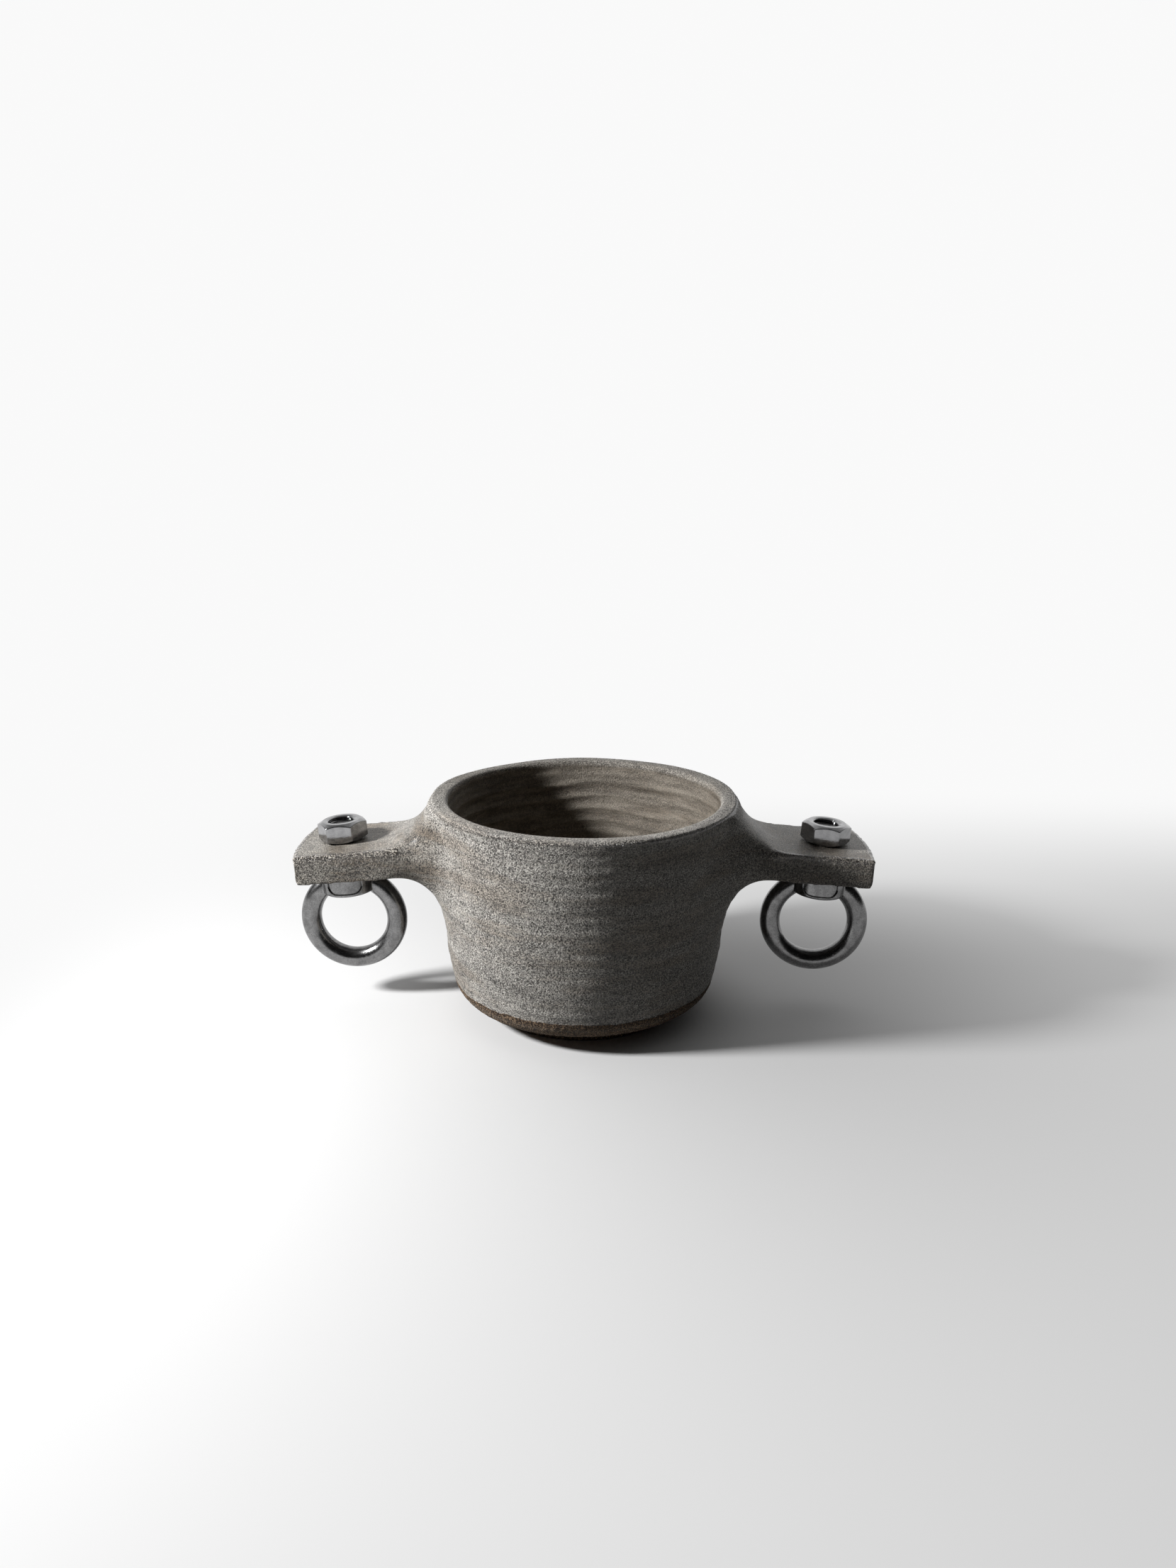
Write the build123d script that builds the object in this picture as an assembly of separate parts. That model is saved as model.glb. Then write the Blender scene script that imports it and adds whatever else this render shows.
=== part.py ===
from build123d import *
import math
import os

os.makedirs("parts", exist_ok=True)

# Thrown cup, in millimetres: the foot stands on z = 0 and the axis is Z.
rim_height = 65.8
rim_radius = 45.3
belly_height = 29.4
belly_radius = 42.75
bevel_height = 6.2
bevel_radius = 40.0
bevel_low_radius = 34.6
bevel_bulge = 1.3
foot_height = 4.4
foot_radius = 29.6
foot_corner_round = 1.6
foot_edge_round = 0.7
foot_recess_radius = 24.0
foot_recess_depth = 3.0
wall_thickness = 4.8
floor_thickness = 6.0
floor_corner_radius = 10.0
lip_inner_radius = 2.7
lip_outer_radius = 1.3

# Two flat handles that stand out left and right and droop a little towards their ends.
tab_reach = 85.9
tab_width = 30.0
tab_thickness = 8.8
tab_droop = 4.4
tab_below_rim = 14.4
tab_top_fillet = 18.0
tab_bottom_fillet = 17.0
tab_side_fillet = 10.0
root_entry_angle = 13.0
tab_end_top_round = 0.5
tab_end_bottom_round = 1.1
bolt_inset = 13.4

# Screw thread shared by the eye bolts and their nuts.
thread_diameter = 8.0
thread_pitch = 1.25
thread_radial_gap = 0.1
thread_axial_gap = 0.05
hole_clearance = 0.5
hole_edge_round = 0.6

# Eye bolts, ring below the handle and thread upwards through it.
eye_diameter = 32.6
eye_section = 6.1
eye_gap = 0.2
eye_neck_fillet = 0.8
collar_diameter = 16.0
collar_height = 7.4
collar_edge_round = 0.8
cartouche_width = 10.4
cartouche_height = 5.4
cartouche_corner = 2.4
cartouche_depth = 0.35
bolt_end_chamfer = 1.0
left_eye_turn = -2.0
right_eye_turn = -5.0

# Hexagon nuts on top of the handles.
nut_width = 12.75
nut_height = 6.2
nut_face_radius = 5.6
nut_chamfer_angle = 30.0
nut_countersink = 0.35
bolt_end_recess = 1.3
left_nut_turn = 2.0
right_nut_turn = -9.3

# Sizes that follow from the ones above.
thread_depth = 0.6134 * thread_pitch
thread_minor = thread_diameter / 2 - thread_depth
thread_crest = thread_pitch / 8
bolt_length = tab_thickness + nut_height - bolt_end_recess
bolt_reach = tab_reach - bolt_inset
tab_height = rim_height - tab_below_rim
eye_drop = eye_diameter / 2 + eye_gap
floor_height = foot_recess_depth + floor_thickness
flank = math.tan(math.radians(30))


def turned(outline):
    """Solid of revolution about Z of a closed outline in radius and height, seam at the front."""
    side = Plane(origin=(0, 0, 0), x_dir=(0, -1, 0), z_dir=(-1, 0, 0))
    return revolve(side * make_face(outline), Axis.Z)


def wall_lines(inset, low, low_radius, high):
    """Wall moved inwards by inset: a straight flare above the belly and a rounder curve below it."""
    flare = (rim_radius - belly_radius) / (rim_height - belly_height)
    belly = (belly_radius - inset, belly_height)
    lower = (low_radius - inset, low)
    upper = (belly[0] + flare * (high - belly_height), high)
    curve = TangentArc(belly, lower, tangent=(-flare, -1))
    return curve, Line(belly, upper), lower, upper


def outer_form():
    """Outside of the cup without its hollow, carried on above the rim for the handles' fillets."""
    top = rim_height + tab_top_fillet
    low = (bevel_low_radius, foot_height)
    slope = bevel_radius - bevel_low_radius
    slant = math.hypot(slope, bevel_height)
    middle = (
        bevel_low_radius + slope / 2 + bevel_bulge * bevel_height / slant,
        foot_height + bevel_height / 2 - bevel_bulge * slope / slant,
    )
    curve, flare, bevel, upper = wall_lines(0, foot_height + bevel_height, bevel_radius, top)
    recess = [(0, foot_recess_depth), (foot_recess_radius - foot_recess_depth, foot_recess_depth)]
    foot = [(foot_recess_radius, 0), (foot_radius, 0), (foot_radius, foot_height)]
    face = make_face([
        Polyline(*recess, *foot, low),
        ThreePointArc(low, middle, bevel),
        curve,
        flare,
        Polyline(upper, (0, top), recess[0]),
    ])
    for corner, edge_round in zip(foot, (foot_edge_round, foot_edge_round, foot_corner_round)):
        face = fillet(face.vertices().sort_by_distance((*corner, 0))[0], edge_round)
    return turned(face.edges())


def hollow_form():
    """Everything inside the cup and above its rounded lip."""
    top = rim_height + 2 * tab_top_fillet
    far = rim_radius + tab_top_fillet
    lip_low = rim_height - lip_inner_radius
    curve, flare, floor_edge, lip_start = wall_lines(wall_thickness, floor_height, bevel_radius, lip_low)
    lip_top = (lip_start[0] + lip_inner_radius, rim_height)
    shift = lip_inner_radius * (1 - math.sqrt(0.5))
    edge_x = rim_radius - lip_outer_radius
    edge_z = rim_height - lip_outer_radius
    edge = [
        (edge_x + lip_outer_radius * math.cos(angle), edge_z + lip_outer_radius * math.sin(angle))
        for angle in (math.pi / 2, math.pi * 3 / 8, math.pi / 4)
    ]
    edge_end = (edge[2][0] + 2 * lip_outer_radius, edge[2][1] - 2 * lip_outer_radius)
    face = make_face([
        Line((0, floor_height), floor_edge),
        curve,
        flare,
        ThreePointArc(lip_start, (lip_start[0] + shift, rim_height - shift), lip_top),
        Line(lip_top, edge[0]),
        ThreePointArc(*edge),
        Polyline(edge[2], edge_end, (far, edge_end[1]), (far, top), (0, top), (0, floor_height)),
    ])
    corner = face.vertices().sort_by_distance((*floor_edge, 0))[0]
    return turned(fillet(corner, floor_corner_radius).edges())


def tab_plane(side, lift=0.0):
    """Plane square to a bolt, lift above the underside of its handle; side is 1 right, -1 left."""
    droop = math.radians(tab_droop)
    up = Vector(side * math.sin(droop), 0, math.cos(droop))
    top = Vector(side * bolt_reach, 0, tab_height)
    along = (math.cos(droop), 0, -side * math.sin(droop))
    return Plane(origin=top + up * (lift - tab_thickness), x_dir=along, z_dir=up)


def tab(side):
    """Flat handle with a curved end, running out into the wall in wide fillets on all four sides."""
    flare = (rim_radius - belly_radius) / (rim_height - belly_height)
    wall = belly_radius + flare * (tab_height - belly_height)
    inner = rim_radius - 0.75 * wall_thickness
    sweep = math.radians(90 - root_entry_angle)
    half = tab_width / 2

    def root(radius, angle):
        """Run along the handle and rise above it of a root fillet at an angle from its start."""
        return wall + radius * (math.sin(sweep) - math.sin(angle)), radius * (1 - math.cos(angle))

    lines = []
    for base, up, radius in ((tab_thickness, 1, tab_top_fillet), (0, -1, tab_bottom_fillet)):
        arc = [root(radius, angle) for angle in (0, sweep / 2, sweep)]
        arc = [(x, base + up * z) for x, z in arc]
        entry = (inner, arc[2][1] + up * (wall - inner) * math.tan(sweep))
        lines += [ThreePointArc(*arc), Line(arc[2], entry)]
        lines.append(Line(arc[0], (tab_reach, base)))
        lines.append(Line((tab_reach, tab_thickness / 2), (tab_reach, base)))
        lines.append(Line(entry, (inner, tab_thickness / 2)))
    section = make_face(lines)
    for base, edge_round in ((tab_thickness, tab_end_top_round), (0, tab_end_bottom_round)):
        corner = section.vertices().sort_by_distance((tab_reach, base, 0))[0]
        section = fillet(corner, edge_round)
    flange = turned(section.edges())

    reach = math.sqrt((wall + tab_side_fillet) ** 2 - (half + tab_side_fillet) ** 2)
    turn = math.pi / 2 - math.asin((half + tab_side_fillet) / (wall + tab_side_fillet))
    turn = turn - math.radians(root_entry_angle)
    edges = []
    for up in (1, -1):
        arc = [
            (reach - tab_side_fillet * math.sin(angle), half + tab_side_fillet * (1 - math.cos(angle)))
            for angle in (0, turn / 2, turn)
        ]
        run = 2 * wall_thickness
        tail = (arc[2][0] - run * math.cos(turn), up * (arc[2][1] + run * math.sin(turn)))
        arc = [(x, up * y) for x, y in arc]
        far = (2 * tab_reach, up * half)
        edges += [ThreePointArc(*arc), Line(arc[2], tail), Line(arc[0], far)]
        edges += [Line(far, (far[0], 0)), Line(tail, (tail[0], 0))]
    plan = extrude(make_face(edges), 2 * rim_height, both=True)
    if side < 0:
        plan = plan.rotate(Axis.Z, 180)
    return tab_plane(side) * Pos(-side * bolt_reach, 0, 0) * (flange & plan)


def cup():
    """Body, handles with flowing roots, hollow, rounded lip and the two bolt holes."""
    shape = outer_form() + tab(1) + tab(-1) - hollow_form()
    hole_radius = thread_diameter / 2 + hole_clearance
    for side in (1, -1):
        shape = shape - tab_plane(side) * Cylinder(hole_radius, 4 * tab_thickness)
    rims = [e for e in shape.edges().filter_by(GeomType.CIRCLE) if abs(e.radius - hole_radius) < 0.001]
    return fillet(rims, hole_edge_round)


def thread_ridge(root, crest, root_width, crest_width, start, turns):
    """Right-hand ridge of the screw thread, a trapezoid carried along a helix."""
    corners = [
        (root, -root_width / 2), (root, root_width / 2),
        (crest, crest_width / 2), (crest, -crest_width / 2),
    ]
    rise = turns * thread_pitch
    helices = [Edge.make_helix(thread_pitch, rise, r, center=(0, 0, start + z)) for r, z in corners]
    faces = [Face.make_surface_from_curves(helices[i], helices[(i + 1) % 4]) for i in range(4)]
    for end in (0, 1):
        faces.append(Face(Wire.make_polygon([helix.position_at(end) for helix in helices])))
    return Solid(Shell(faces))


def bolt_thread():
    """Threaded shank with a chamfered flat end, its foot sunk into the collar."""
    sunk = 0.1 * thread_depth
    root = thread_minor - sunk
    root_width = thread_crest + 2 * (thread_diameter / 2 - root) * flank
    start = thread_pitch
    turns = bolt_length / thread_pitch + 1
    core = Cylinder(thread_minor, 2 * (bolt_length + thread_pitch))
    screw = core + thread_ridge(root, thread_diameter / 2, root_width, thread_crest, start, turns)
    wide = thread_diameter
    end = thread_diameter / 2 - bolt_end_chamfer
    limit = Polyline(
        (0, 0), (wide, 0), (wide, bolt_length + end - wide),
        (end, bolt_length), (0, bolt_length), (0, 0),
    )
    return screw & turned(limit)


def eye_bolt():
    """Ring, collar with an empty cartouche and threaded shank; the collar's seat is z = 0."""
    collar = Cylinder(collar_diameter / 2, collar_height, align=(Align.CENTER, Align.CENTER, Align.MAX))
    collar = fillet(collar.edges().sort_by(Axis.Z)[0], collar_edge_round)
    ring = Torus((eye_diameter - eye_section) / 2, eye_section / 2).rotate(Axis.X, 90)
    ring = ring.moved(Location((0, 0, -eye_drop)))
    head = collar + ring
    head = fillet(new_edges(collar, ring, combined=head), eye_neck_fillet)
    field = RectangleRounded(cartouche_width, cartouche_height, cartouche_corner)
    front = Plane(origin=(0, -collar_diameter / 2, -collar_height / 2), x_dir=(1, 0, 0), z_dir=(0, -1, 0))
    stamp = extrude(front * field, collar_diameter / 4, both=True)
    stamp = stamp - Cylinder(collar_diameter / 2 - cartouche_depth, 3 * collar_height)
    return head - stamp + bolt_thread()


def nut(hexagon_turn, thread_turn):
    """Hexagon nut chamfered on both faces, seated on z = 0, its thread in mesh with a turned bolt."""
    blank = extrude(RegularPolygon(nut_width / 2, 6, major_radius=False), nut_height)
    corner = nut_width / math.sqrt(3) + 1
    drop = (corner - nut_face_radius) * math.tan(math.radians(nut_chamfer_angle))
    envelope = Polyline(
        (0, 0), (nut_face_radius, 0), (corner, drop), (corner, nut_height - drop),
        (nut_face_radius, nut_height), (0, nut_height), (0, 0),
    )
    blank = (blank & turned(envelope)).rotate(Axis.Z, hexagon_turn)
    bore = thread_minor + thread_radial_gap
    crest = thread_diameter / 2 + thread_radial_gap
    crest_width = thread_crest + 2 * thread_axial_gap
    root = bore - 0.1 * thread_depth
    root_width = crest_width + 2 * (crest - root) * flank
    below = math.ceil(tab_thickness / thread_pitch) - 2
    start = thread_pitch + below * thread_pitch - tab_thickness
    turns = math.ceil(nut_height / thread_pitch) + 3
    tap = Cylinder(bore, 3 * nut_height) + thread_ridge(root, crest, root_width, crest_width, start, turns)
    mouth = crest + nut_countersink
    depth = mouth - bore
    slope = math.tan(math.radians(30))
    hollow = Polyline(
        (0, -1), (mouth, -1), (mouth, 0), (bore, depth * slope), (bore, nut_height - depth * slope),
        (mouth, nut_height), (mouth, nut_height + 1), (0, nut_height + 1), (0, -1),
    )
    return blank - turned(hollow) - tap.rotate(Axis.Z, thread_turn)


export_step(cup(), "parts/cup.step")
for name, side, eye_turn, nut_turn in (
    ("left", -1, left_eye_turn, left_nut_turn),
    ("right", 1, right_eye_turn, right_nut_turn),
):
    export_step(tab_plane(side) * eye_bolt().rotate(Axis.Z, eye_turn), f"parts/{name}_eye_bolt.step")
    export_step(tab_plane(side, tab_thickness) * nut(nut_turn, eye_turn), f"parts/{name}_nut.step")
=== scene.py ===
import math

import bmesh
import bpy
import numpy as np
from mathutils import Matrix, Vector


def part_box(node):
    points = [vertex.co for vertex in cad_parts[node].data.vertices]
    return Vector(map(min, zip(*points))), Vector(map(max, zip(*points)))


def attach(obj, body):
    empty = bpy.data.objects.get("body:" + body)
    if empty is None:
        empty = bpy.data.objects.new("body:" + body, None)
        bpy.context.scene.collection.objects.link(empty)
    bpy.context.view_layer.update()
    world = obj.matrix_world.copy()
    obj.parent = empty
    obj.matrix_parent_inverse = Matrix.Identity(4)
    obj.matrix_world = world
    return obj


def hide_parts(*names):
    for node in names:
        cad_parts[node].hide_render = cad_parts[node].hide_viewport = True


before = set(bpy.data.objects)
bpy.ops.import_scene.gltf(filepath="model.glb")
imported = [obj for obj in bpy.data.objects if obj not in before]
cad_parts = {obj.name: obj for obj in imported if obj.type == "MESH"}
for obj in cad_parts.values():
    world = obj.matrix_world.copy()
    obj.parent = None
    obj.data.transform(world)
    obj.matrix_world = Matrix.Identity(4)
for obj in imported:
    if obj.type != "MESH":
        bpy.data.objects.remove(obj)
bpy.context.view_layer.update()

# Sizes of the cup as the model has them. All lengths on the cup are in millimetres.
MM = 0.001
RIM_HEIGHT = 65.8
RIM_RADIUS = 45.3
BELLY_HEIGHT = 29.4
BELLY_RADIUS = 42.75
WALL = 4.8
LIP_INNER_RADIUS = 2.7
LIP_OUTER_RADIUS = 1.3
FLOOR_HEIGHT = 9.0
BEVEL_LOW_RADIUS = 34.6
BOLT_REACH = 72.5
TAB_REACH = 85.9
TAB_HEIGHT = 51.4
TAB_WIDTH = 30.0
TAB_DROOP = math.radians(4.4)

# How the clay was worked and glazed.
GLAZE_LINE = 10.4  # height at which the glaze stops
CLAY_GRAIN = 0.5  # spacing of the mesh's points
LIP_SQUARENESS = 5  # 2 would be the model's round lip
RIDGE_PITCH = 4.6  # from one throwing ridge to the next
RIDGE_DEPTH = 0.8  # from hollow to crest
RIDGE_PROUD = 0.6  # share of the depth that stands proud of the model's wall
FLOOR_RIDGE_PITCH = 5.2
FLOOR_RIDGE_DEPTH = 0.2
RIM_GROOVE_DEPTH = 0.3
BELT_PITCHES = (3.7, 8.9)  # soft waves round the outside
BELT_HEIGHT = 0.05
WALL_SWELL = 0.14  # unevenness of the wall, then of the handles
TAB_SWELL = 0.08
TAB_NICKS = 0.03  # roughness of the handles' edges, then of the bare foot
FOOT_CRUMBS = 0.025
BRIM_DIP = 0.06

# Masks on the cup's points that the glaze reads.
GLAZE_ZONES = ("inside", "worn", "lip", "tab", "painted_shade", "sheen")

# Colours as red, green and blue. A tint is multiplied into the colour under it.
GREY_GLAZE = (0.28, 0.262, 0.237)
PALE_SALT = (0.82, 0.784, 0.727)
DARK_PEPPER = (0.028, 0.025, 0.022)
TOAST_TINT = (0.46, 0.37, 0.28)
# Multiplied in where shade is painted on the handles, the left root and the back of the lip.
PAINTED_SHADE_TINT = (0.68, 0.665, 0.64)
INSIDE_TINT = (0.66, 0.605, 0.535)
DARK_WASH = (0.07, 0.058, 0.045)
PALE_WASH = (0.33, 0.295, 0.246)
DARK_FLECK = (0.028, 0.019, 0.013)
# Pale flecks are painted glints.
PAINTED_GLINT = (0.8, 0.73, 0.64)
IRON_SPOT = (0.05, 0.036, 0.026)
BROWN_CLAY = (0.12, 0.077, 0.047)
PALE_GROG = (0.48, 0.35, 0.235)
DARK_GROG = (0.022, 0.015, 0.01)
SCORCH_TINT = (0.6, 0.54, 0.48)
DARK_FORGED = (0.15, 0.149, 0.15)
PALE_FORGED = (0.28, 0.279, 0.279)
FORGED_PIT = (0.14, 0.133, 0.126)
DARK_MACHINED = (0.27, 0.27, 0.274)
PALE_MACHINED = (0.38, 0.38, 0.385)

# The studio, in metres.
LAMP_PLACE = (-0.345, -0.1, 0.246)
LAMP_AIM = (0, 0, 0.03)
LAMP_SIZE = 0.065
LAMP_ENERGY = 2.35
PAPER_REACH = 6.0
PAPER_GREY = 0.84
PAPER_BOUNCE = 0.16
BACKDROP_WHITE = 0.95
ROOM_DIM = 0.01
ROOM_BRIGHT = 0.42

# The camera: picture height and focal length in pixels, sensor in millimetres,
# place in metres and angles in radians.
PICTURE_HEIGHT = 2212
FOCAL_LENGTH = 1600
SENSOR = 36.0
CAMERA_PLACE = (0.00105, -0.3253, 0.1597)
CAMERA_PITCH = 0.272
CAMERA_ROLL = 0.0055
CAMERA_NEAR = 0.01


class Socket:
    """One output of a node; arithmetic on it adds Math nodes to its finish."""

    def __init__(self, finish, output):
        self.finish = finish
        self.output = output

    def math(self, operation, first, second):
        return self.finish.node("ShaderNodeMath", {"operation": operation}, {0: first, 1: second})

    def __add__(self, other):
        return self.math("ADD", self, other)

    def __radd__(self, other):
        return self.math("ADD", other, self)

    def __sub__(self, other):
        return self.math("SUBTRACT", self, other)

    def __rsub__(self, other):
        return self.math("SUBTRACT", other, self)

    def __mul__(self, other):
        return self.math("MULTIPLY", self, other)

    def __rmul__(self, other):
        return self.math("MULTIPLY", other, self)


class Finish:
    """Node tree of a material or of the world, filled by a few short methods."""

    # Sockets of a colour Mix node by their place, because their names repeat.
    MIX_FACTOR, MIX_FIRST, MIX_SECOND, MIX_RESULT = 0, 6, 7, 2

    def __init__(self, block):
        block.use_nodes = True
        self.block = block
        self.tree = block.node_tree
        self.tree.nodes.clear()

    def node(self, kind, settings=None, sockets=None, output=0):
        """Adds a node, sets it up, then fills its sockets with values or links."""
        made = self.tree.nodes.new(kind)
        for name, value in (settings or {}).items():
            setattr(made, name, value)
        for name, value in (sockets or {}).items():
            if isinstance(value, Socket):
                self.tree.links.new(value.output, made.inputs[name])
            else:
                made.inputs[name].default_value = value
        return Socket(self, made.outputs[output]) if made.outputs else None

    def vector_math(self, operation, sockets, output="Vector"):
        return self.node("ShaderNodeVectorMath", {"operation": operation}, sockets, output)

    def place(self):
        """Point on the piece in millimetres, in the cup's own frame."""
        point = self.node("ShaderNodeTexCoord", output="Object")
        return self.vector_math("SCALE", {0: point, "Scale": 1 / MM})

    def stretch(self, vector, factors):
        """Vector with each component times its own factor."""
        return self.vector_math("MULTIPLY", {0: vector, 1: factors})

    def length(self, vector):
        return self.vector_math("LENGTH", {0: vector}, "Value")

    def parts(self, vector):
        """The three components of a vector or a colour."""
        split = self.node("ShaderNodeSeparateXYZ", None, {0: vector})
        outputs = split.output.node.outputs
        return [Socket(self, outputs[axis]) for axis in range(3)]

    def rays(self):
        """Marks of the rays from the camera, off mirrors and through glass."""
        path = self.node("ShaderNodeLightPath").output.node.outputs
        names = ("Is Camera Ray", "Is Glossy Ray", "Is Transmission Ray")
        return [Socket(self, path[name]) for name in names]

    def noise(self, vector, grain, detail=2.0, roughness=0.5, distortion=0.0):
        """Cloudy value from 0 to 1 with features about one grain across."""
        return self.node("ShaderNodeTexNoise", None, {
            "Vector": vector,
            "Scale": 1 / grain,
            "Detail": detail,
            "Roughness": roughness,
            "Distortion": distortion,
        })

    def cells(self, vector, grain, output="Distance"):
        """Distance to, or colour of, the nearest of scattered points one grain apart."""
        sockets = {"Vector": vector, "Scale": 1 / grain}
        return self.node("ShaderNodeTexVoronoi", None, sockets, output)

    def step(self, value, start, end):
        """Smooth rise from 0 at start to 1 at end, which may be the lower of the two."""
        sockets = {"Value": value, "From Min": start, "From Max": end}
        return self.node("ShaderNodeMapRange", {"interpolation_type": "SMOOTHSTEP"}, sockets)

    def mix(self, factor, first, second, blend="MIX"):
        """Mix of two colours, each given as a link or as three numbers."""
        first, second = [
            colour if isinstance(colour, Socket) else (*colour, 1.0)
            for colour in (first, second)
        ]
        settings = {"data_type": "RGBA", "blend_type": blend}
        sockets = {self.MIX_FACTOR: factor, self.MIX_FIRST: first, self.MIX_SECOND: second}
        return self.node("ShaderNodeMix", settings, sockets, self.MIX_RESULT)

    def tinted(self, colour, tint):
        return self.mix(1.0, colour, tint, "MULTIPLY")

    def bump(self, height, edge_round=0.0):
        """Normal from a height in millimetres, on edges broken by a small radius."""
        sockets = {"Strength": 1.0, "Distance": MM, "Height": height}
        if edge_round:
            radius = {"Radius": edge_round * MM}
            sockets["Normal"] = self.node("ShaderNodeBevel", {"samples": 6}, radius)
        return self.node("ShaderNodeBump", None, sockets)

    def mix_shader(self, factor, first, second):
        return self.node("ShaderNodeMixShader", None, {0: factor, 1: first, 2: second})

    def surface(self, sockets):
        """Ends a material in one shader with the given sockets."""
        shader = self.node("ShaderNodeBsdfPrincipled", None, sockets)
        self.node("ShaderNodeOutputMaterial", None, {"Surface": shader})
        return self.block


def speckled_glaze():
    """Grey semi-matt glaze over brown clay: speckle, bands, worn edges with painted glints,
    painted shade and a bare foot.
    """
    glaze = Finish(bpy.data.materials.new("speckled_grey_glaze"))
    place = glaze.place()
    height = glaze.parts(place)[2]
    inside, worn, lip, tab, painted_shade, sheen = [
        glaze.node("ShaderNodeAttribute", {"attribute_name": name}, None, "Fac")
        for name in GLAZE_ZONES
    ]

    # Pale salt and dark pepper in small crystals, gathered in clouds and in bands round the cup.
    crystal = glaze.parts(glaze.cells(place, grain=0.3, output="Color"))
    salt = glaze.noise(place, grain=0.4, roughness=0.75) + 0.2 * (crystal[0] - 0.5)
    pepper = glaze.noise(place, grain=0.46, roughness=0.75) + 0.16 * (crystal[1] - 0.5)
    mottle = glaze.noise(place, grain=6.0, detail=4.0, roughness=0.6)
    round_cup = glaze.stretch(place, (0.05, 0.05, 1.0))
    band = glaze.noise(round_cup, grain=2.4, detail=3.0, roughness=0.6, distortion=0.3)
    along_tab = glaze.stretch(place, (0.3, 1.0, 1.0))
    streak = glaze.noise(along_tab, grain=2.4, detail=3.0, roughness=0.6)
    drift = 0.16 * (mottle - 0.5) + 0.18 * (band - 0.5) + tab * (0.16 * (streak - 0.5) - 0.02)
    colour = glaze.mix(glaze.step(salt + drift, 0.45, 0.58), GREY_GLAZE, PALE_SALT)
    dark = glaze.step(pepper + 0.8 * drift, 0.485, 0.395)
    # Fewer dark specks on the handles' top faces: painted light that makes the tops lighter.
    dark = dark * (1 - 0.45 * tab) * (1 - 0.4 * inside)
    colour = glaze.mix(0.95 * dark, colour, DARK_PEPPER)

    # Toasted patches, painted shade on the handles' flanks, the left root, the left handle's end
    # and the back of the lip, and a brown wash inside.
    patches = glaze.stretch(place, (0.2, 0.2, 1.0))
    toast = glaze.noise(patches, grain=5.0, detail=3.0, roughness=0.6)
    toasted = glaze.step(toast + 0.4 * (band - 0.5) + 0.4 * (salt - 0.5), 0.45, 0.68)
    toasted = (0.5 + 0.12 * tab + 0.25 * painted_shade) * toasted * (1 - 0.5 * lip)
    colour = glaze.mix(toasted, colour, glaze.tinted(colour, TOAST_TINT))
    colour = glaze.mix(painted_shade, colour, glaze.tinted(colour, PAINTED_SHADE_TINT))
    brushed = glaze.stretch(place, (0.12, 0.12, 1.0))
    wash = glaze.noise(brushed, grain=2.0, detail=4.0, roughness=0.6)
    washed = glaze.mix(glaze.step(wash, 0.32, 0.68), DARK_WASH, PALE_WASH)
    warm = glaze.mix(0.55, glaze.tinted(colour, INSIDE_TINT), washed)
    colour = glaze.mix(inside * (1 - lip), colour, warm)

    # Dark flecks on worn edges mixed with pale flecks that are painted glints, and scattered iron
    # spots.
    chip = glaze.noise(place, grain=1.0, detail=3.0, roughness=0.7)
    wear_and_glints = glaze.step(worn + 1.1 * (chip - 0.5), 0.3, 0.8)
    fleck_and_glint = glaze.step(salt + 0.5 * (chip - 0.5), 0.52, 0.59)
    colour = glaze.mix(0.85 * wear_and_glints, colour, glaze.mix(fleck_and_glint, DARK_FLECK, PAINTED_GLINT))
    iron = glaze.step(glaze.cells(place, grain=2.3), 0.15, 0.07) * glaze.step(chip, 0.48, 0.6)
    colour = glaze.mix(0.7 * iron, colour, IRON_SPOT)

    # Bare clay below an uneven line, scorched next to the glaze.
    clay_line = height + 1.6 * (glaze.noise(place, grain=7.0) - 0.5) + 0.7 * (chip - 0.5)
    bare = glaze.step(clay_line, GLAZE_LINE + 0.2, GLAZE_LINE - 0.2) * (1 - inside)
    grog = glaze.noise(place, grain=0.44, roughness=0.7)
    clay = glaze.mix(glaze.step(grog, 0.52, 0.57), BROWN_CLAY, PALE_GROG)
    clay = glaze.mix(glaze.step(grog, 0.47, 0.43), clay, DARK_GROG)
    scorched = glaze.step(clay_line, GLAZE_LINE - 2.2, GLAZE_LINE)
    clay = glaze.mix(0.8 * scorched, clay, glaze.tinted(clay, SCORCH_TINT))
    colour = glaze.mix(bare, colour, clay)

    gloss = 0.52 + 0.2 * (mottle - 0.5) + 0.25 * (salt - 0.5) - 0.32 * wear_and_glints
    relief = 0.3 * salt + 0.35 * pepper + 0.1 * glaze.noise(place, grain=1.7)
    relief = relief + 0.4 * bare * grog + 0.3 * wear_and_glints * (salt + chip)
    return glaze.surface({
        "Base Color": colour,
        "Roughness": gloss + bare * (0.9 - gloss),
        "Specular IOR Level": 0.42,
        "Coat Weight": (0.3 * sheen + (0.9 - 0.3 * sheen) * wear_and_glints) * (1 - bare),
        "Coat Roughness": 0.34,
        "Normal": glaze.bump(relief),
    })


def forged_steel():
    """Satin forged and tumbled steel of the eye bolts."""
    steel = Finish(bpy.data.materials.new("satin_forged_steel"))
    place = steel.place()
    cloud = steel.noise(place, grain=2.6, detail=4.0, roughness=0.7)
    grit = steel.noise(place, grain=0.35, roughness=0.6)
    pit = steel.step(steel.cells(place, grain=1.6), 0.16, 0.05) * steel.step(cloud, 0.45, 0.6)
    tone = steel.step(cloud + 0.8 * (grit - 0.5), 0.25, 0.75)
    colour = steel.mix(0.6 * pit, steel.mix(tone, DARK_FORGED, PALE_FORGED), FORGED_PIT)
    return steel.surface({
        "Base Color": colour,
        "Metallic": 1.0,
        "Roughness": 0.11 + 0.15 * cloud + 0.1 * grit + 0.2 * pit,
        "Normal": steel.bump(0.03 * cloud + 0.012 * grit - 0.03 * pit, edge_round=0.4),
    })


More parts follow.
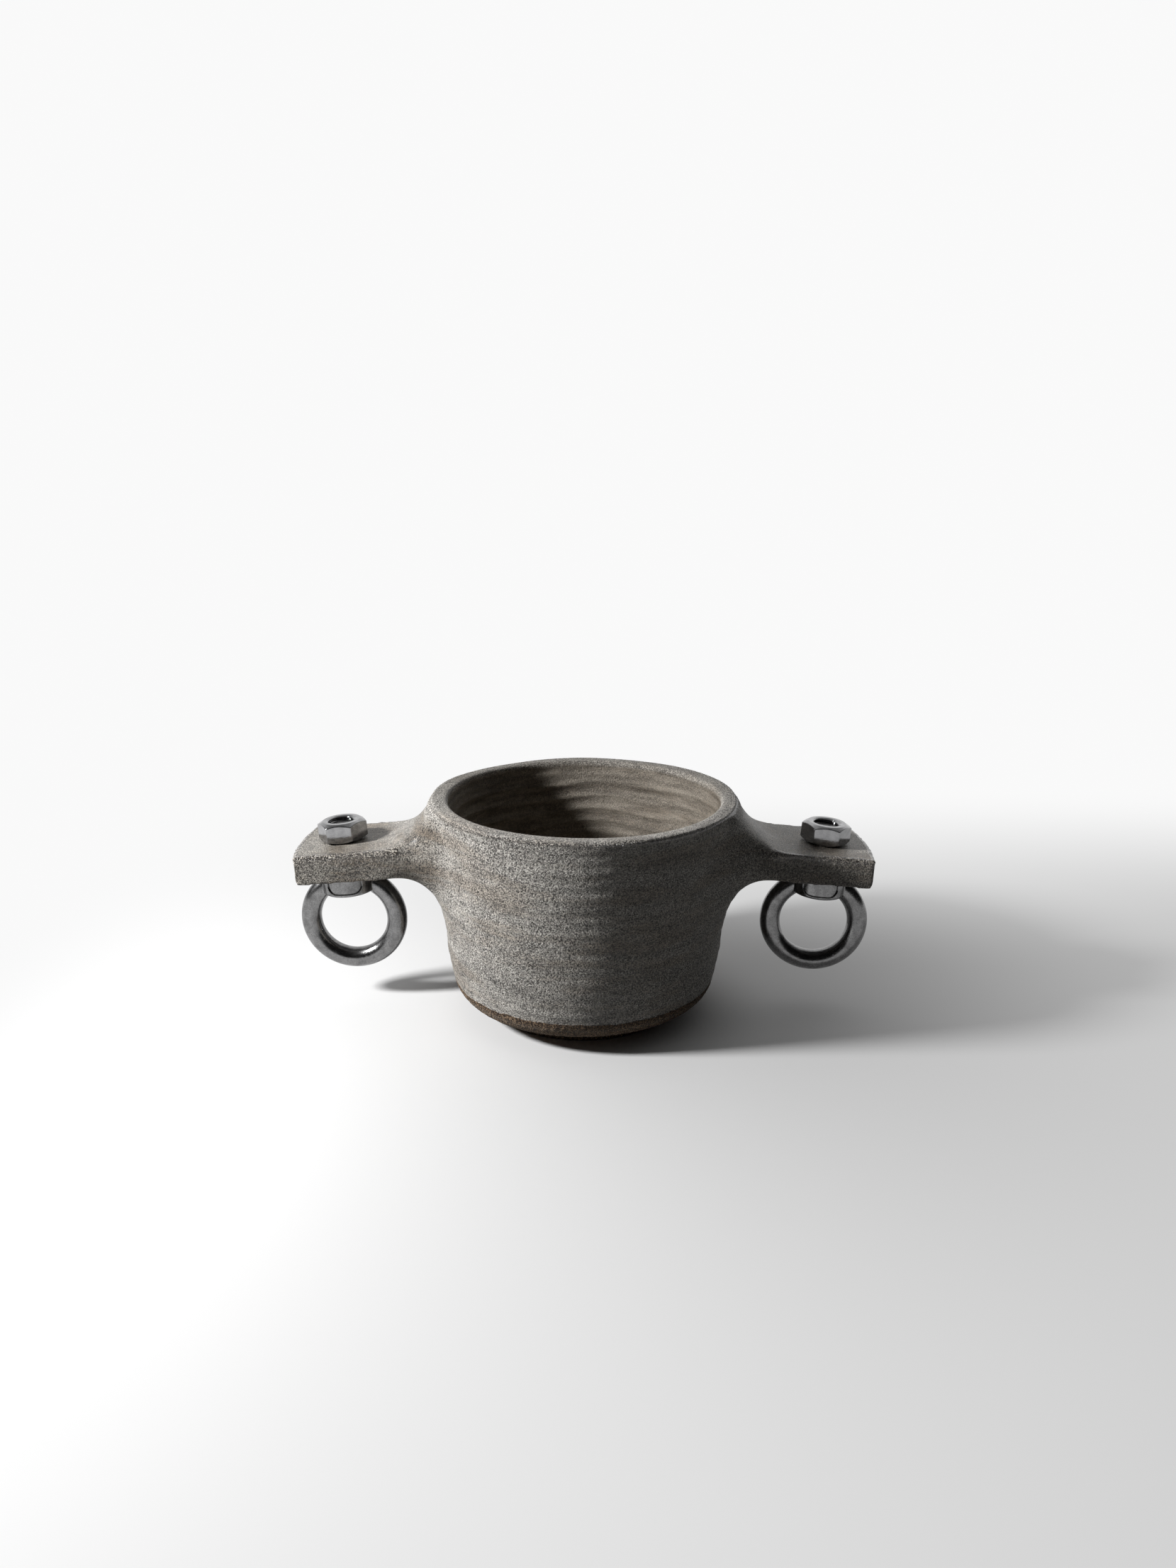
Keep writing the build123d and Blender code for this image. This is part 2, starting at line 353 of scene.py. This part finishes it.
def machined_steel(name, side):
    """Bright machined steel of a nut, with turning marks round its own tilted axis."""
    steel = Finish(bpy.data.materials.new("bright_machined_steel_" + name))
    place = steel.place()
    local = steel.node("ShaderNodeMapping", {"vector_type": "TEXTURE"}, {
        "Vector": place,
        "Location": (side * BOLT_REACH, 0, TAB_HEIGHT),
        "Rotation": (0, side * TAB_DROOP, 0),
    })
    radius = steel.length(steel.stretch(local, (1.0, 1.0, 0.0)))
    along = 0.35 * steel.parts(local)[2]
    rings = steel.node("ShaderNodeCombineXYZ", None, {"X": radius, "Y": along})
    turning = steel.noise(rings, grain=0.16, roughness=0.6)
    cloud = steel.noise(place, grain=2.2, detail=3.0, roughness=0.6)
    smear = steel.noise(steel.stretch(local, (0.4, 0.4, 1.6)), grain=0.3, roughness=0.6)
    tone = steel.step(cloud + 0.4 * (smear - 0.5), 0.2, 0.8)
    relief = 0.006 * turning + 0.004 * smear + 0.02 * cloud
    return steel.surface({
        "Base Color": steel.mix(tone, DARK_MACHINED, PALE_MACHINED),
        "Metallic": 1.0,
        "Roughness": 0.05 + 0.08 * cloud + 0.04 * smear,
        "Normal": steel.bump(relief, edge_round=0.5),
    })


def set_up(name, data):
    """New object of the scene that holds a mesh, a lamp or a camera."""
    thing = bpy.data.objects.new(name, data)
    bpy.context.scene.collection.objects.link(thing)
    return thing


def clay_mesh():
    """Cup of the model as one even, fine mesh of its own."""
    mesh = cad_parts["cup"].data.copy()
    shape = bmesh.new()
    shape.from_mesh(mesh)
    bmesh.ops.remove_doubles(shape, verts=shape.verts, dist=1e-6)
    shape.to_mesh(mesh)
    shape.free()
    body = set_up("stoneware_cup", mesh)
    remesh = body.modifiers.new("even_clay", "REMESH")
    remesh.mode = "VOXEL"
    remesh.voxel_size = CLAY_GRAIN * MM
    remesh.use_smooth_shade = True
    graph = bpy.context.evaluated_depsgraph_get()
    fine = bpy.data.meshes.new_from_object(body.evaluated_get(graph))
    body.modifiers.clear()
    body.data = fine
    return body


def read_rows(source, field, width, kind):
    """Values of a mesh's points or edges, as one row of the given width for each."""
    flat = np.empty(len(source) * width, kind)
    source.foreach_get(field, flat)
    return flat.reshape(-1, width)


def move_points(mesh, points):
    """Puts the points of a mesh at the given places, in millimetres."""
    mesh.vertices.foreach_set("co", (points * MM).astype(np.float32).ravel())
    mesh.update()


def rise(value, low, high):
    """Smooth rise from 0 at low to 1 at high."""
    share = np.clip((value - low) / (high - low), 0, 1)
    return share * share * (3 - 2 * share)


def fall(value, low, high):
    """Smooth fall from 1 at low to 0 at high."""
    return 1 - rise(value, low, high)


def swell(points, length, seed, waves=18):
    """Smooth random field of unit spread: waves of one length in random directions."""
    draw = np.random.default_rng(seed)
    way = draw.normal(size=(waves, 3))
    way /= np.linalg.norm(way, axis=1)[:, None]
    phase = draw.uniform(0, 2 * math.pi, waves)
    height = np.sin(points @ way.T * (2 * math.pi / length) + phase)
    return height.sum(1) * math.sqrt(2 / waves)


def relaxed(points, edges, rounds, weight, carry=0.0):
    """Points moved towards the middle of their neighbours, as a wet sponge evens clay.

    A share of each move is carried into the next one, which evens wide bends in fewer rounds.
    """
    move = np.zeros_like(points)
    near = edges[(weight[edges] > 0).any(1)]
    count = np.maximum(np.bincount(near.ravel(), minlength=len(points)), 1)[:, None]
    first, second = near.T
    for _ in range(rounds):
        total = np.stack([
            np.bincount(first, points[second, axis], len(points))
            + np.bincount(second, points[first, axis], len(points))
            for axis in range(3)
        ], 1)
        move = carry * move + 0.5 * weight[:, None] * (total / count - points)
        points = points + move
    return points


def root_zone(points):
    """Outside of the wall where a handle grows out of it."""
    reach, height = np.abs(points[:, 0]), points[:, 2]
    radius = np.hypot(points[:, 0], points[:, 1])
    outer = rise(radius, BELLY_RADIUS - 1.5, BELLY_RADIUS - 0.5)
    root = rise(reach, 30, 38) * fall(reach, 43, 66) ** 4 * rise(height, 18, 26) ** 2
    return outer * root * fall(height, RIM_HEIGHT - 7, RIM_HEIGHT - 2) ** 2


def squared_lip(points):
    """Lip with firmer corners: each round of the model's lip is drawn out to a squarer curve."""
    radius = np.hypot(points[:, 0], points[:, 1])
    inner = RIM_RADIUS - WALL + LIP_INNER_RADIUS
    outer = RIM_RADIUS - LIP_OUTER_RADIUS
    lift = radius * 0
    spread = radius * 0
    for centre, way, size in ((inner, -1, LIP_INNER_RADIUS), (outer, 1, LIP_OUTER_RADIUS)):
        across = np.maximum(way * (radius - centre), 0) / size
        up = np.maximum(points[:, 2] - RIM_HEIGHT + size, 0) / size
        corner = (across > 0) & (up > 0)
        square = (across ** LIP_SQUARENESS + up ** LIP_SQUARENESS) ** (1 / LIP_SQUARENESS)
        grow = 1 / np.maximum(square, 0.1) - 1
        grow = grow * corner * fall(np.abs(np.hypot(across, up) - 1), 0.3, 0.5)
        spread += way * grow * across * size
        lift += grow * up * size
    scale = 1 + spread / np.maximum(radius, 1)
    return np.column_stack([points[:, 0] * scale, points[:, 1] * scale, points[:, 2] + lift])


class Clay:
    """Where each point of the cup lies, in millimetres, and on which part, from 0 to 1.

    Reach is how far to the side a point lay before the clay was sponged.
    """

    def __init__(self, points, edges, normal, reach):
        self.points, self.normal, self.reach = points, normal, reach
        self.x, self.y, self.z = points.T
        self.radius = np.hypot(self.x, self.y)
        self.turn = np.arctan2(self.y, self.x) / (2 * math.pi)

        flare = (RIM_RADIUS - BELLY_RADIUS) / (RIM_HEIGHT - BELLY_HEIGHT)
        middle = BELLY_RADIUS + flare * (self.z - BELLY_HEIGHT) - WALL / 2
        self.inside = fall(self.radius, middle - 0.8, middle + 0.8)
        self.inside = self.inside * rise(self.z, FLOOR_HEIGHT - 1.6, FLOOR_HEIGHT - 0.8)
        self.wall = (1 - self.inside) * fall(self.radius, RIM_RADIUS + 0.2, RIM_RADIUS + 3.2)
        self.tab = rise(reach, 50, 56)

        # The seat of the nut and collar stays flat. Above is the height over a handle's top face.
        beyond = reach - BOLT_REACH
        self.seat = fall(np.hypot(beyond, self.y), 9.0, 11.0)
        self.above = beyond * math.sin(TAB_DROOP) + (self.z - TAB_HEIGHT) * math.cos(TAB_DROOP)

        # How far a point stands out from its wider surroundings.
        broad = relaxed(points, edges, rounds=8, weight=np.ones(len(points)))
        self.edge = np.einsum("ij,ij->i", points - broad, normal)


def throwing_ridges(clay):
    """Height of the finger marks inside: a spiral, a groove under the lip, rings on the floor."""
    points, inside, turn, z = clay.points, clay.inside, clay.turn, clay.z
    spiral = z + RIDGE_PITCH * turn + 0.55 * swell(points, length=34, seed=3)
    groove = np.sqrt(np.sin(math.pi * spiral / RIDGE_PITCH) ** 2 + 0.008)
    depth = RIDGE_DEPTH + 0.16 * swell(points, length=42, seed=4)
    side = inside * rise(z, FLOOR_HEIGHT + 2, FLOOR_HEIGHT + 8)
    side = side * fall(z, RIM_HEIGHT - 8, RIM_HEIGHT - 4)
    height = side * depth * (RIDGE_PROUD - groove)
    height -= inside * RIM_GROOVE_DEPTH * np.exp(-((z - RIM_HEIGHT + 3.3) / 0.7) ** 2)
    floor = inside * fall(z, FLOOR_HEIGHT + 0.6, FLOOR_HEIGHT + 2.2)
    floor = floor * fall(clay.radius, 24, 30) * rise(clay.radius, 2, 5)
    groove = np.abs(np.sin(math.pi * (clay.radius / FLOOR_RIDGE_PITCH + turn)))
    return height + floor * FLOOR_RIDGE_DEPTH * (RIDGE_PROUD - groove)


def uneven_outside(clay):
    """Height of the belts on the wall, the uneven handles with their nicks, and the rough foot."""
    points, z = clay.points, clay.z
    belt = z + 2.5 * clay.turn + 0.7 * swell(points, length=40, seed=5)
    belts = sum(np.sin(2 * math.pi * belt / pitch) for pitch in BELT_PITCHES)
    height = clay.wall * rise(z, GLAZE_LINE, GLAZE_LINE + 4) * BELT_HEIGHT * belts
    height += clay.wall * WALL_SWELL * swell(points, length=46, seed=6)
    tab = clay.tab * (1 - clay.seat)
    crisp = np.clip(clay.edge / 0.12, 0, 1)
    height += tab * (1 - 0.6 * crisp) * TAB_SWELL * swell(points, length=14, seed=7)
    nicks = swell(points, length=1.9, seed=8) + swell(points, length=3.3, seed=9)
    height += tab * crisp * rise(clay.above, -3, -0.5) * TAB_NICKS * nicks
    foot = (1 - clay.inside) * fall(z, GLAZE_LINE - 1, GLAZE_LINE + 0.6)
    foot = foot * rise(clay.radius, BEVEL_LOW_RADIUS - 1.1, BEVEL_LOW_RADIUS + 0.4)
    crumbs = swell(points, length=1.3, seed=10) + swell(points, length=2.4, seed=11)
    return height + foot * FOOT_CRUMBS * crumbs


def glaze_zones(clay):
    """Masks for the glaze, in the order of their names."""
    x, y, z, radius, reach, above = clay.x, clay.y, clay.z, clay.radius, clay.reach, clay.above
    top_face = clay.tab * rise(above, -1.2, -0.3)
    lip = rise(z, RIM_HEIGHT - 2.0, RIM_HEIGHT - 1.0)
    lip = lip * fall(radius, RIM_RADIUS + 0.3, RIM_RADIUS + 1.3)
    lip = lip * fall(radius, RIM_RADIUS - 1.1, RIM_RADIUS - 0.4)

    # Painted shade on the handles' sides, fronts and undersides, more on the left, on the left
    # root, towards the left handle's end and on the back of the lip.
    flanks = rise(reach, 45, 54) * rise(radius, RIM_RADIUS + 1.2, RIM_RADIUS + 6.7)
    flanks = flanks * (1 - top_face) * (1 - 0.55 * rise(x, 0, 1))
    root = rise(-x, 38, 45) * rise(z, 36, 44) * fall(z, RIM_HEIGHT - 6, RIM_HEIGHT - 2)
    root = root * (1 - top_face)
    left_end = top_face * rise(-x, 60, 80)
    back_lip = lip * (0.2 + 0.8 * rise(y, -20, 20))
    painted_shade = np.maximum.reduce([flanks, root, left_end, back_lip])

    sheen = rise(clay.normal[:, 2], 0.2, 0.7) * rise(reach, 43, 48)
    sheen = sheen * fall(z, RIM_HEIGHT - 5, RIM_HEIGHT - 2)

    # Wear on the handles' sides and upper edges, and on one line round the rim; the upper edges
    # and the rim line also carry painted glints.
    sides = clay.tab * rise(np.abs(y), TAB_WIDTH / 2 - 0.6, TAB_WIDTH / 2 - 0.2)
    sides = np.maximum(sides, rise(radius, TAB_REACH - 1.3, TAB_REACH - 0.7))
    upper_edges = clay.tab * np.clip(clay.edge / 0.07, 0, 1) * rise(above, -3, -0.5)
    rim_line = np.exp(-((z - RIM_HEIGHT + 0.9) / 0.5) ** 2)
    rim_line = rim_line * rise(radius, RIM_RADIUS - 1.1, RIM_RADIUS - 0.5)
    rim_line = rim_line * fall(radius, RIM_RADIUS + 0.7, RIM_RADIUS + 2.7)
    worn = 0.55 * sides * rise(above, -8.0, -1.0) + 1.4 * upper_edges
    worn = np.maximum(worn, 0.95 * rim_line)
    return clay.inside, worn, lip, top_face, painted_shade, sheen


def throw_cup():
    """Cup with throwing ridges, a hand-made rim and rough worn edges."""
    body = clay_mesh()
    mesh = body.data
    low, high = [np.array(corner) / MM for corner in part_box("cup")]
    edges = read_rows(mesh.edges, "vertices", 2, np.int32)
    points = read_rows(mesh.vertices, "co", 3, np.float32).astype(float) / MM
    reach = np.abs(points[:, 0])
    root = root_zone(points)
    points = relaxed(points, edges, rounds=2, weight=np.ones(len(points)))
    points = relaxed(points, edges, rounds=130, weight=root, carry=0.9)
    points = squared_lip(points)
    move_points(mesh, points)

    normal = read_rows(mesh.vertex_normals, "vector", 3, np.float32).astype(float)
    clay = Clay(points, edges, normal, reach)
    height = throwing_ridges(clay) + uneven_outside(clay)
    points = points + normal * height[:, None]
    brim = rise(clay.z, RIM_HEIGHT - 11, RIM_HEIGHT - 1)
    brim = brim * fall(clay.radius, RIM_RADIUS + 1.2, RIM_RADIUS + 3.7)
    points[:, 2] -= brim * BRIM_DIP * (1.0 + swell(points * (1, 1, 0), length=60, seed=12))
    move_points(mesh, np.clip(points, low, high))

    for name, values in zip(GLAZE_ZONES, glaze_zones(clay)):
        zone = mesh.attributes.new(name, "FLOAT", "POINT")
        zone.data.foreach_set("value", values.astype(np.float32))
    mesh.materials.clear()
    mesh.materials.append(speckled_glaze())
    mesh.polygons.foreach_set("use_smooth", np.ones(len(mesh.polygons), bool))
    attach(body, "cup")
    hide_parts("cup")


def finish_steel():
    """Better steel on the eye bolts and nuts of the model."""
    forged = forged_steel()
    for name, side in (("left", -1), ("right", 1)):
        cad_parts[name + "_eye_bolt"].material_slots[0].material = forged
        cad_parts[name + "_nut"].material_slots[0].material = machined_steel(name, side)


def grey(level):
    return (level, level, level, 1.0)


def paper_floor():
    """Plain pale paper: matt round the cup, turning white behind, to the left and far off, with
    painted light that lifts the shadow round the cup.
    """
    shape = bmesh.new()
    bmesh.ops.create_grid(shape, x_segments=8, y_segments=8, size=PAPER_REACH)
    mesh = bpy.data.meshes.new("paper_floor")
    shape.to_mesh(mesh)
    shape.free()
    floor = set_up("paper_floor", mesh)

    paper = Finish(bpy.data.materials.new("pale_paper"))
    place = paper.node("ShaderNodeTexCoord", output="Object")
    away = paper.length(place)
    side, back, _ = paper.parts(place)
    near = (1 - paper.step(back, 0.02, 0.24)) * (1 - paper.step(side, -0.05, -0.2))
    near = near * (1 - paper.step(away, 0.26, 0.75))
    # Painted light: a faint glow that lifts the cup's shadow, slight by the foot and more further
    # out.
    painted_lift_near = 0.07 * paper.step(away, 0.03, 0.06)
    painted_lift_far = 0.31 * paper.step(away, 0.045, 0.2)
    glow = 1 - near * (1 - painted_lift_near - painted_lift_far)

    # The eye and the steel see the paper; what it throws back on the cup is weaker.
    camera, mirrored, through = paper.rays()
    seen = camera + mirrored + through
    matt = paper.node("ShaderNodeBsdfDiffuse", None, {"Color": grey(PAPER_GREY)})
    bounce = paper.node("ShaderNodeBsdfDiffuse", None, {"Color": grey(PAPER_BOUNCE)})
    white = paper.node("ShaderNodeEmission", None, {
        "Color": grey(BACKDROP_WHITE),
        "Strength": 1.0,
    })
    sheet = paper.mix_shader(seen, bounce, paper.mix_shader(glow, matt, white))
    paper.node("ShaderNodeOutputMaterial", None, {"Surface": sheet})
    mesh.materials.append(paper.block)


def studio():
    """One soft lamp from the left and a room that is white behind the cup and dim before it."""
    lamp = bpy.data.lights.new("soft_lamp", "AREA")
    lamp.shape = "DISK"
    lamp.size = LAMP_SIZE
    lamp.energy = LAMP_ENERGY
    holder = set_up("soft_lamp", lamp)
    holder.location = LAMP_PLACE
    aim = Vector(LAMP_AIM) - Vector(LAMP_PLACE)
    holder.rotation_euler = aim.to_track_quat("-Z", "Y").to_euler()

    world = bpy.data.worlds.new("studio_room")
    bpy.context.scene.world = world
    room = Finish(world)
    way = room.node("ShaderNodeTexCoord", output="Generated")
    _, back, up = room.parts(way)
    camera, mirrored, through = room.rays()
    seen = camera + (mirrored + through) * room.step(back, 0.3, 0.7)
    dim, bright, white = [
        room.node("ShaderNodeBackground", None, {"Color": grey(level), "Strength": strength})
        for level, strength in ((1.0, ROOM_DIM), (1.0, ROOM_BRIGHT), (BACKDROP_WHITE, 1.0))
    ]
    light = room.mix_shader(room.step(0.85 * back + 0.5 * up, 0.25, 0.95), dim, bright)
    room.node("ShaderNodeOutputWorld", None, {"Surface": room.mix_shader(seen, light, white)})


def photo_camera():
    """Camera at the photograph's viewing angle."""
    lens = bpy.data.cameras.new("photo_camera")
    lens.sensor_width = SENSOR
    lens.lens = FOCAL_LENGTH / PICTURE_HEIGHT * SENSOR
    lens.clip_start = CAMERA_NEAR
    camera = set_up("photo_camera", lens)
    tilt = Matrix.Rotation(math.pi / 2 - CAMERA_PITCH, 4, "X")
    roll = Matrix.Rotation(CAMERA_ROLL, 4, "Z")
    camera.matrix_world = Matrix.Translation(CAMERA_PLACE) @ tilt @ roll
    bpy.context.scene.camera = camera


throw_cup()
finish_steel()
paper_floor()
studio()
photo_camera()
bpy.context.scene.view_settings.view_transform = "Standard"
